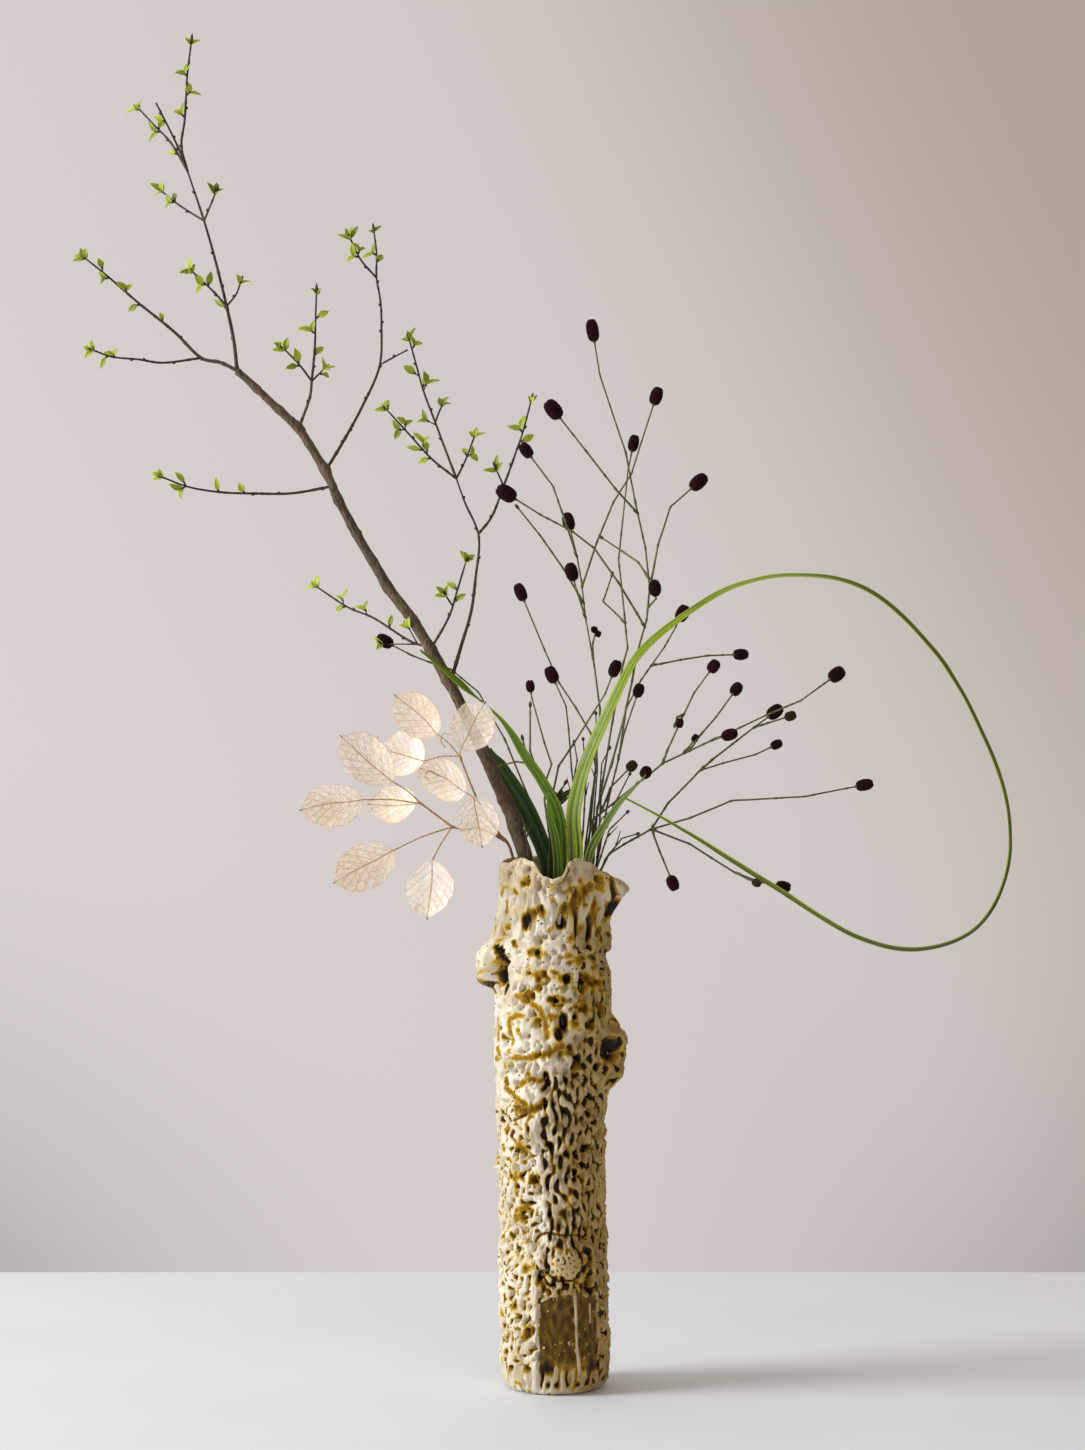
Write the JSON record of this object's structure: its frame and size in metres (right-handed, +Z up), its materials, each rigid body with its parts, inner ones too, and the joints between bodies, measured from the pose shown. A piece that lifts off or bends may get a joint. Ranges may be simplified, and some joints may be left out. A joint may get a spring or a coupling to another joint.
{
  "type": "ikebana arrangement",
  "caption": "Ikebana arrangement: a budding branch, burnet flower heads, skeleton leaves and a looping strap leaf in a tall encrusted ceramic vase.",
  "frame": {"origin": "middle of the vase's flat foot, on the surface that it stands on", "axes": "+Z up the vase; the front faces -Y; the long branch leans to -X and the looping leaf reaches to +X"},
  "size_m": [0.6534, 0.1502, 0.9457],
  "materials": {
    "vase_glaze": "glossy cream and white glaze, pooled amber and dark brown in the hollows of its crust",
    "water": "clear still water",
    "kubari_wood": "bare cut twig",
    "bark": "matt grey-brown bark with small yellow-green opening leaves",
    "skeleton_leaf": "matt cream veined leaf, crisp and part see-through",
    "strap_leaf": "satin green leaf with fine parallel veins",
    "burnet_stem": "satin olive-green stem",
    "burnet_head": "matt very dark maroon florets"
  },
  "bodies": {
    "root": {"vase": "vase_glaze", "water": "water", "kubari": "kubari_wood", "branch": "bark", "skeleton_leaf_spray": "skeleton_leaf", "strap_leaf_dark": "strap_leaf", "strap_leaf_left": "strap_leaf", "strap_leaf_loop": "strap_leaf", "strap_leaf_short": "strap_leaf", "strap_leaf_right": "strap_leaf", "burnet_tall": "burnet_stem", "burnet_middle": "burnet_stem", "burnet_rear": "burnet_stem", "burnet_thick": "burnet_stem", "burnet_arching": "burnet_stem", "burnet_back_left": "burnet_stem", "burnet_slender": "burnet_stem", "burnet_young": "burnet_stem", "burnet_far_left": "burnet_stem", "burnet_right_low": "burnet_stem", "burnet_right_high": "burnet_stem", "flower_head_01": "burnet_head", "flower_head_02": "burnet_head", "flower_head_03": "burnet_head", "flower_head_04": "burnet_head", "flower_head_05": "burnet_head", "flower_head_06": "burnet_head", "flower_head_07": "burnet_head", "flower_head_08": "burnet_head", "flower_head_09": "burnet_head", "flower_head_10": "burnet_head", "flower_head_11": "burnet_head", "flower_head_12": "burnet_head", "flower_head_13": "burnet_head", "flower_head_14": "burnet_head", "flower_head_15": "burnet_head", "flower_head_16": "burnet_head", "flower_head_17": "burnet_head", "flower_head_18": "burnet_head", "flower_head_19": "burnet_head", "flower_head_20": "burnet_head", "flower_head_21": "burnet_head", "flower_head_22": "burnet_head", "flower_head_23": "burnet_head", "flower_head_24": "burnet_head", "flower_head_25": "burnet_head", "flower_head_26": "burnet_head", "flower_head_27": "burnet_head", "flower_head_28": "burnet_head", "flower_head_29": "burnet_head", "flower_head_30": "burnet_head", "flower_head_31": "burnet_head"}
  },
  "joints": []
}
